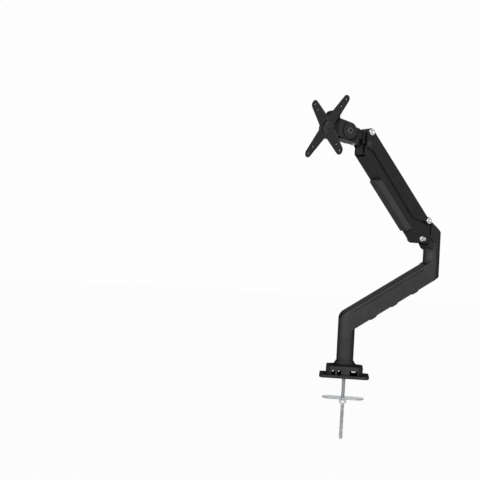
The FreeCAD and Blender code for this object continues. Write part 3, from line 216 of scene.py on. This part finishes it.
def noise(tree, point, scale, detail, roughness=0.5):
    texture = tree.nodes.new("ShaderNodeTexNoise")
    texture.inputs["Scale"].default_value = scale
    texture.inputs["Detail"].default_value = detail
    texture.inputs["Roughness"].default_value = roughness
    tree.links.new(point, texture.inputs["Vector"])
    return texture.outputs["Fac"]


def voronoi(tree, point, scale, feature):
    texture = tree.nodes.new("ShaderNodeTexVoronoi")
    texture.feature = feature
    texture.inputs["Scale"].default_value = scale
    tree.links.new(point, texture.inputs["Vector"])
    return texture.outputs["Distance"]


def mapRange(tree, value, span, low, high):
    ramp = tree.nodes.new("ShaderNodeMapRange")
    ramp.inputs["From Min"].default_value = span[0]
    ramp.inputs["From Max"].default_value = span[1]
    ramp.inputs["To Min"].default_value = low
    ramp.inputs["To Max"].default_value = high
    tree.links.new(value, ramp.inputs["Value"])
    return ramp.outputs["Result"]


noiseSpan = (0.3, 0.7)     # most of a noise texture's values lie here


def twoColours(tree, value, dark, light):
    mix = tree.nodes.new("ShaderNodeMix")
    mix.data_type = "RGBA"
    mix.inputs["A"].default_value = (*dark, 1.0)
    mix.inputs["B"].default_value = (*light, 1.0)
    tree.links.new(value, mix.inputs["Factor"])
    return mix.outputs["Result"]


def bump(tree, shader, height, strength, distance):
    relief = tree.nodes.new("ShaderNodeBump")
    relief.inputs["Strength"].default_value = strength
    relief.inputs["Distance"].default_value = distance
    tree.links.new(height, relief.inputs["Height"])
    tree.links.new(relief.outputs["Normal"], shader.inputs["Normal"])


def grey(level, blue):
    return (level, level, level * blue)


# painted shade in seams and inner corners: full tone on open faces, falling to the darkest share where they
# close
paintedCreaseShade = {
    "reach": 0.018,
    "span": (0.30, 0.95),
    "darkest": 0.10,
}


def creaseShadeShare(tree):
    nearness = tree.nodes.new("ShaderNodeAmbientOcclusion")
    nearness.inputs["Distance"].default_value = paintedCreaseShade["reach"]
    return mapRange(tree, nearness.outputs["AO"], paintedCreaseShade["span"], paintedCreaseShade["darkest"], 1.0)


# painted shade on rounded edges: full tone where a face looks at the viewer, less where it turns away
rim = {
    "blend": 0.5,
    "span": (0.12, 0.62),
}


def paintedRimShade(tree, rimShade):
    weight = tree.nodes.new("ShaderNodeLayerWeight")
    weight.inputs["Blend"].default_value = rim["blend"]
    return mapRange(tree, weight.outputs["Facing"], rim["span"], 1.0, rimShade)


def shadedCoat(tree, shader, colour, gloss, rimShade):
    # painted shade: colour and gloss both fall in the seams and towards the rounded edges
    share = calculate(tree, "MULTIPLY", creaseShadeShare(tree), paintedRimShade(tree, rimShade))
    shade = tree.nodes.new("ShaderNodeVectorMath")
    shade.operation = "SCALE"
    tree.links.new(colour, shade.inputs[0])
    tree.links.new(share, shade.inputs["Scale"])
    tree.links.new(shade.outputs["Vector"], shader.inputs["Base Color"])
    tree.links.new(calculate(tree, "MULTIPLY", share, gloss), shader.inputs["Specular IOR Level"])


# powder coat: a fine pebbled skin over cast metal, with faint uneven cover
coatLook = {
    "patchScale": 38.0,
    "patchDetail": 3.0,
    "patchTones": (0.9, 1.1),
    "blue": 0.98,
    "skinDetail": 3.0,
    "skinRoughness": 0.6,
    "roughSpread": 0.05,
    "bump": 0.5,
}

# grain is the scale of the skin, relief its height in metres, rimShade the tone left at a rounded edge by
# the painted shade
# the levels differ part by part for the light and shade each part shows, so these copies of one black coat
# carry painted light and shade
coats = {
    "armCoat": {"name": "armPowderCoat", "level": 0.029, "rough": 0.42, "gloss": 0.03,
                "grain": 1900.0, "relief": 0.00006, "rimShade": 1.0},
    "elbowCoat": {"name": "elbowPowderCoat", "level": 0.049, "rough": 0.34, "gloss": 0.03,
                  "grain": 1700.0, "relief": 0.00005, "rimShade": 0.45},
    "lowerArmCoat": {"name": "lowerArmPowderCoat", "level": 0.056, "rough": 0.27, "gloss": 0.03,
                     "grain": 1500.0, "relief": 0.00004, "rimShade": 0.15},
    "postCoat": {"name": "postPowderCoat", "level": 0.052, "rough": 0.27, "gloss": 0.03,
                 "grain": 1500.0, "relief": 0.00004, "rimShade": 0.15},
    "baseCoat": {"name": "basePowderCoat", "level": 0.048, "rough": 0.60, "gloss": 0.01,
                 "grain": 1500.0, "relief": 0.00004, "rimShade": 0.15},
    "headCoat": {"name": "headPowderCoat", "level": 0.037, "rough": 0.42, "gloss": 0.03,
                 "grain": 1700.0, "relief": 0.00005, "rimShade": 1.0},
    "slabCoat": {"name": "slabPowderCoat", "level": 0.021, "rough": 0.50, "gloss": 0.02,
                 "grain": 1700.0, "relief": 0.00005, "rimShade": 1.0},
}


def coatedMetal(values):
    look = coatLook
    material, tree, shader = startMaterial(values["name"])
    point = objectPoint(tree)
    cover = noise(tree, point, look["patchScale"], look["patchDetail"])
    patches = mapRange(tree, cover, noiseSpan, 0.0, 1.0)
    skin = noise(tree, point, values["grain"], look["skinDetail"], look["skinRoughness"])
    dark, light = [grey(values["level"] * tone, look["blue"]) for tone in look["patchTones"]]
    colour = twoColours(tree, patches, dark, light)
    shadedCoat(tree, shader, colour, values["gloss"], values["rimShade"])
    low, high = values["rough"] - look["roughSpread"], values["rough"] + look["roughSpread"]
    tree.links.new(mapRange(tree, skin, noiseSpan, low, high), shader.inputs["Roughness"])
    bump(tree, shader, skin, look["bump"], values["relief"])
    return material


# moulded plastic: a fine spark-eroded grain
plasticLook = {
    "cellScale": 1500.0,
    "cloudScale": 60.0,
    "cloudDetail": 2.0,
    "cloudTones": (0.92, 1.08),
    "roughSpread": 0.03,
    "bump": 0.35,
    "relief": 0.00008,
}

plastics = {
    "plastic": {"name": "blackCoverPlastic", "level": 0.062, "rough": 0.40, "gloss": 0.01},
    "nylon": {"name": "nylonBush", "level": 0.045, "rough": 0.45, "gloss": 0.2},
}


def mouldedPlastic(values):
    look = plasticLook
    material, tree, shader = startMaterial(values["name"])
    point = objectPoint(tree)
    cells = voronoi(tree, point, look["cellScale"], "SMOOTH_F1")
    cloud = mapRange(tree, noise(tree, point, look["cloudScale"], look["cloudDetail"]), noiseSpan, 0.0, 1.0)
    dark, light = [grey(values["level"] * tone, 1.0) for tone in look["cloudTones"]]
    tree.links.new(twoColours(tree, cloud, dark, light), shader.inputs["Base Color"])
    low, high = values["rough"] - look["roughSpread"], values["rough"] + look["roughSpread"]
    tree.links.new(mapRange(tree, cloud, noiseSpan, low, high), shader.inputs["Roughness"])
    shader.inputs["Specular IOR Level"].default_value = values["gloss"]
    bump(tree, shader, cells, look["bump"], look["relief"])
    return material


# foam rubber: open cells
foams = {
    "foam": {"name": "blackFoam", "dark": (0.012, 0.012, 0.012), "light": (0.030, 0.030, 0.030),
             "cellScale": 1300.0, "rough": 0.95, "gloss": 0.1, "bump": 0.8, "relief": 0.0003},
}


def foamRubber(values):
    material, tree, shader = startMaterial(values["name"])
    cells = voronoi(tree, objectPoint(tree), values["cellScale"], "F1")
    tree.links.new(twoColours(tree, cells, values["dark"], values["light"]), shader.inputs["Base Color"])
    shader.inputs["Roughness"].default_value = values["rough"]
    shader.inputs["Specular IOR Level"].default_value = values["gloss"]
    bump(tree, shader, cells, values["bump"], values["relief"])
    return material


# drawn or turned metal: long fine lines along one way, and a cloudy plated tone
platedLook = {
    "lineScale": 900.0,
    "lineDetail": 2.0,
    "lineRoughness": 0.6,
    "cloudScale": 130.0,
    "cloudDetail": 3.0,
    "smoother": 0.06,
    "rougher": 0.08,
    "bump": 0.4,
}

# a small number in stretch draws the lines out along that axis
metals = {
    "rodZinc": {"name": "rodZincPlate", "dark": (0.40, 0.41, 0.42), "light": (0.52, 0.53, 0.54),
                "rough": 0.30, "stretch": (1.0, 1.0, 0.06), "relief": 0.00003},
    "plateZinc": {"name": "plateZincPlate", "dark": (0.28, 0.30, 0.31), "light": (0.38, 0.40, 0.41),
                  "rough": 0.30, "stretch": (0.1, 1.0, 1.0), "relief": 0.00003},
    "zinc": {"name": "zincPlate", "dark": (0.40, 0.42, 0.43), "light": (0.52, 0.53, 0.54),
             "rough": 0.34, "stretch": (0.1, 1.0, 1.0), "relief": 0.00003},
    "bright": {"name": "brightPlate", "dark": (0.46, 0.46, 0.46), "light": (0.57, 0.57, 0.56),
               "rough": 0.24, "stretch": (1.0, 1.0, 1.0), "relief": 0.00001},
    "steel": {"name": "turnedSteel", "dark": (0.36, 0.36, 0.36), "light": (0.46, 0.46, 0.46),
              "rough": 0.28, "stretch": (1.0, 1.0, 0.1), "relief": 0.00002},
    "blackSteel": {"name": "blackOxideSteel", "dark": (0.030, 0.030, 0.031), "light": (0.050, 0.050, 0.052),
                   "rough": 0.42, "stretch": (1.0, 1.0, 1.0), "relief": 0.00003},
    "boltSteel": {"name": "phosphatedSteel", "dark": (0.07, 0.07, 0.07), "light": (0.11, 0.11, 0.11),
                  "rough": 0.36, "stretch": (1.0, 1.0, 1.0), "relief": 0.00002},
}


def platedMetal(values):
    look = platedLook
    material, tree, shader = startMaterial(values["name"])
    drawn = objectPoint(tree, values["stretch"])
    lines = noise(tree, drawn, look["lineScale"], look["lineDetail"], look["lineRoughness"])
    plain = noise(tree, objectPoint(tree), look["cloudScale"], look["cloudDetail"])
    cloud = mapRange(tree, plain, noiseSpan, 0.0, 1.0)
    tree.links.new(twoColours(tree, cloud, values["dark"], values["light"]), shader.inputs["Base Color"])
    low, high = values["rough"] - look["smoother"], values["rough"] + look["rougher"]
    tree.links.new(mapRange(tree, lines, noiseSpan, low, high), shader.inputs["Roughness"])
    shader.inputs["Metallic"].default_value = 1.0
    bump(tree, shader, lines, look["bump"], values["relief"])
    return material


finishes = {}
for makeFinish, kinds in ((coatedMetal, coats), (mouldedPlastic, plastics), (foamRubber, foams),
                          (platedMetal, metals)):
    for finishName, finishValues in kinds.items():
        finishes[finishName] = makeFinish(finishValues)

finishOf = {
    "armCoat": ["beam_casting", "link_shell", "mounting_plate"],
    "elbowCoat": ["elbow_bracket"],
    "lowerArmCoat": ["lower_arm"],
    "postCoat": ["base_post"],
    "baseCoat": ["base_casting"],
    "headCoat": ["head_bracket", "swivel_block", "tilt_bracket", "friction_discs"],
    "slabCoat": ["rotation_hub", "turning_boss"],
    "plastic": ["lower_cover", "beam_plugs", "link_cover", "cable_hook"],
    "foam": ["base_pad"],
    "rodZinc": ["clamp_rod", "rod_nut"],
    "plateZinc": ["grommet_plate"],
    "zinc": ["clamp_washer", "clamp_nut", "tilt_nut", "centre_nut", "hook_screw"],
    "bright": ["elbow_pivot_screws", "head_pivot_screws", "shell_screws", "link_pin"],
    "steel": ["base_spindle", "elbow_spindle", "elbow_pivot_pin", "anchor_pin", "spring_mount_pin",
              "link_end_pin", "spring_rod", "head_pivot_pin", "swivel_pin"],
    "blackSteel": ["link_bars", "tension_slider", "tension_screw", "spring_cylinder", "lower_cover_screws",
                   "link_cover_screws", "elbow_pivot_screw_washers", "head_pivot_screw_washers",
                   "shell_screw_washers", "centre_screw", "plate_screws", "retaining_washer"],
    "boltSteel": ["tilt_bolt"],
    "nylon": ["hub_bush", "elbow_bush", "elbow_pivot_inner_washers", "head_pivot_inner_washers",
              "swivel_bushes"],
}


thread = {
    "pitch": 0.00125,      # coarse M8
    "depth": 0.00062,
    "root": 0.0002,        # how far the ridge reaches into the core
    "ridgeHeight": 0.96,   # of the pitch, so that two turns never meet
    "steps": 18,
    "coreSides": 36,
    "endBevel": 0.0008,
    "smoothAngle": 35.0,
}


def threadedRod(values):
    # a smooth core with one ridge wound round it, in the place of the plain rod
    low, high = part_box("clamp_rod")
    radius = (high.x - low.x) / 2.0
    core = radius - values["depth"]
    bpy.ops.object.select_all(action="DESELECT")
    bpy.ops.mesh.primitive_cylinder_add(
        vertices=values["coreSides"], radius=core, depth=high.z - low.z,
        location=(0.0, 0.0, (low.z + high.z) / 2.0))
    rod = bpy.context.object
    rod.name = "threadedRod"
    bpy.ops.object.transform_apply(location=True, rotation=True, scale=True)

    bpy.ops.object.select_all(action="DESELECT")
    start = low.z + values["endBevel"]
    turns = int((high.z - start) / values["pitch"]) - 1
    # a triangle with its point outwards: 1.5 radii deep and 1.732 radii high
    tall = values["ridgeHeight"] * values["pitch"] / math.sqrt(3.0)
    deep = (values["depth"] + values["root"]) / 1.5
    bpy.ops.mesh.primitive_circle_add(
        vertices=3, radius=1.0, fill_type="NOTHING",
        location=(radius - deep, 0.0, start + values["pitch"] / 2.0),
        rotation=(math.pi / 2.0, math.pi / 2.0, 0.0))
    ridge = bpy.context.object
    ridge.scale = (tall, deep, 1.0)
    bpy.ops.object.transform_apply(location=True, rotation=True, scale=True)
    winding = ridge.modifiers.new("winding", "SCREW")
    winding.axis = "Z"
    winding.angle = math.tau
    winding.screw_offset = values["pitch"]
    winding.iterations = turns
    winding.steps = values["steps"]
    winding.render_steps = values["steps"]
    winding.use_smooth_shade = False
    bpy.ops.object.modifier_apply(modifier=winding.name)
    bpy.ops.object.mode_set(mode="EDIT")
    bpy.ops.mesh.select_all(action="DESELECT")
    bpy.ops.mesh.select_non_manifold()
    bpy.ops.mesh.fill_holes(sides=3)
    bpy.ops.mesh.select_all(action="SELECT")
    bpy.ops.mesh.normals_make_consistent(inside=False)
    bpy.ops.object.mode_set(mode="OBJECT")
    rod.select_set(True)
    bpy.context.view_layer.objects.active = rod
    bpy.ops.object.join()
    bpy.ops.object.shade_smooth_by_angle(angle=math.radians(values["smoothAngle"]))
    rod.data.materials.append(finishes["rodZinc"])
    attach(rod, "desk_mount")
    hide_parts("clamp_rod")


def coatNodes(finishes, finishOf):
    left = set(nodes)
    for finish, names in finishOf.items():
        for name in names:
            mesh = nodes[name].data
            if not mesh.materials:
                mesh.materials.append(None)
            for slot in range(len(mesh.materials)):
                mesh.materials[slot] = finishes[finish]
            left.discard(name)
    if left:
        raise ValueError("no finish for " + ", ".join(sorted(left)))


coatNodes(finishes, finishOf)
print("finishes on", len(nodes), "nodes")

threadedRod(thread)
print("threaded rod done")
